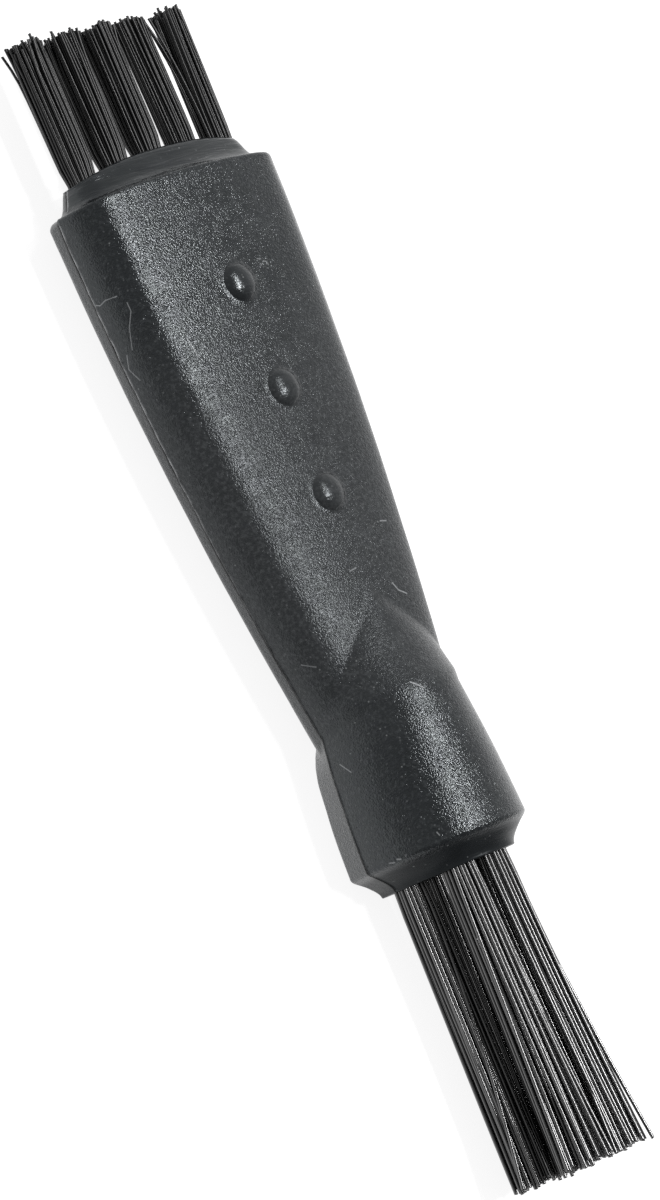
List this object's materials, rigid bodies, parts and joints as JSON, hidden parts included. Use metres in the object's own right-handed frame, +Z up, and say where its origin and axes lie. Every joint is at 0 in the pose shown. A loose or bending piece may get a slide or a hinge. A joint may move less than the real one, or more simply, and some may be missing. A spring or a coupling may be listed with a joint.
{
  "type": "shaver cleaning brush",
  "caption": "Double-ended cleaning brush: a moulded handle with a flat wide head of short bristles and a round narrow head of long bristles, pinned in blind holes.",
  "frame": {"origin": "centre of the whole length and width, on the plane of the flat back", "axes": "+Y along the length towards the wide end with the short bristles, +X across the width, +Z up out of the face with the raised dots"},
  "size_m": [0.0148, 0.0644, 0.0076],
  "materials": {
    "moulded_plastic": "charcoal black, fine eroded grain on the body, smooth collars",
    "bristle": "glossy black drawn nylon filament",
    "anchor_metal": "drawn flat strip, cut square"
  },
  "bodies": {
    "root": {"handle": "moulded_plastic", "tuft_wide_1": "bristle", "tuft_wide_2": "bristle", "tuft_wide_3": "bristle", "tuft_wide_4": "bristle", "tuft_wide_5": "bristle", "tuft_narrow_1": "bristle", "tuft_narrow_2": "bristle", "tuft_narrow_3": "bristle", "tuft_narrow_4": "bristle", "tuft_narrow_5": "bristle", "anchor_wide_1": "anchor_metal", "anchor_wide_2": "anchor_metal", "anchor_wide_3": "anchor_metal", "anchor_wide_4": "anchor_metal", "anchor_wide_5": "anchor_metal", "anchor_narrow_1": "anchor_metal", "anchor_narrow_2": "anchor_metal", "anchor_narrow_3": "anchor_metal", "anchor_narrow_4": "anchor_metal", "anchor_narrow_5": "anchor_metal"}
  },
  "joints": []
}
